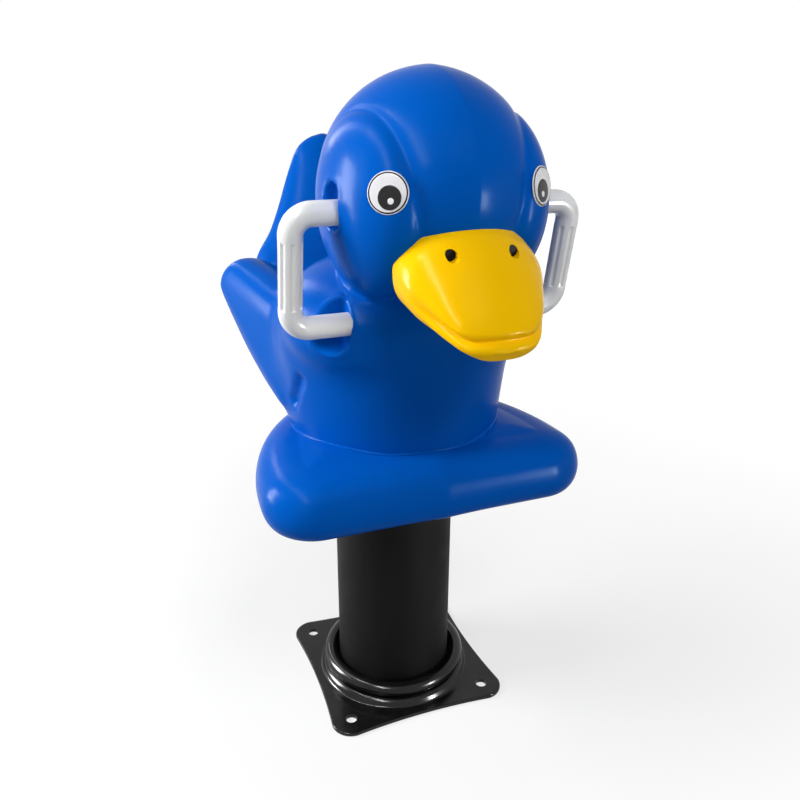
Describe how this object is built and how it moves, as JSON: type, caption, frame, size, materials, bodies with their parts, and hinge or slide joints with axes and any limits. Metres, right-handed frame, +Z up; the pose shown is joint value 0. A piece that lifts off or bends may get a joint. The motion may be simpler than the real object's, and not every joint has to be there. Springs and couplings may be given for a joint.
{
  "type": "spring rider",
  "caption": "Playground spring rider: hollow duck body with footrest, bill and D-shaped handles on a sleeved coil spring and a square ground plate",
  "frame": {"origin": "middle of the base plate's underside, on the column's axis", "axes": "+Z up, the duck faces -Y, its left side is +X"},
  "size_m": [0.374, 0.5646, 0.7596],
  "materials": {
    "black_steel": "gloss black paint",
    "bare_steel": "zinc plated",
    "sleeve_rubber": "matte",
    "blue_plastic": "soft gloss moulded",
    "yellow_plastic": "soft gloss moulded",
    "dark_steel": "blackened",
    "white_plastic": "gloss moulded",
    "eye_white": "gloss",
    "eye_black": "gloss"
  },
  "bodies": {
    "base": {"base_plate": "black_steel", "collar_ring": "black_steel", "lower_clamps": "bare_steel", "lower_clamp_studs": "bare_steel", "lower_clamp_nuts": "bare_steel"},
    "spring": {"coil_spring": "bare_steel"},
    "sleeve": {"spring_sleeve": "sleeve_rubber"},
    "rider": {"upper_spring_plate": "black_steel", "upper_clamps": "bare_steel", "upper_clamp_bolts": "bare_steel", "rider_bolts": "bare_steel", "rider_washers": "bare_steel", "rider_nuts": "bare_steel", "backing_plate": "bare_steel", "footrest": "blue_plastic", "rider_body": "blue_plastic", "bill": "yellow_plastic", "bill_screws": "dark_steel", "bill_washers": "bare_steel", "bill_nuts": "bare_steel", "right_handle": "white_plastic", "left_handle": "white_plastic", "handle_inserts": "bare_steel", "handle_bolts": "bare_steel", "handle_washers": "bare_steel", "eye_rims": "eye_white", "eye_rings": "eye_black", "eye_whites": "eye_white", "eye_pupils": "eye_black", "eye_glints": "eye_white"}
  },
  "joints": [
    {"name": "rock_fore_aft", "type": "hinge", "parent": "base", "child": "spring", "pos_m": [0, 0, 0.09], "axis": [1, 0, 0], "range_deg": [-20, 20], "stiffness_Nm_per_rad": 450, "deforming": ["coil_spring", "spring_sleeve"]},
    {"name": "rock_sideways", "type": "hinge", "parent": "spring", "child": "sleeve", "pos_m": [0, 0, 0.18], "axis": [0, 1, 0], "range_deg": [-15, 15], "stiffness_Nm_per_rad": 450, "deforming": ["coil_spring", "spring_sleeve"]},
    {"name": "bounce", "type": "slide", "parent": "sleeve", "child": "rider", "axis": [0, 0, 1], "range_m": [-0.03, 0.015], "stiffness_N_per_m": 20000, "springref_m": 0.00413, "deforming": ["coil_spring", "spring_sleeve"]}
  ]
}
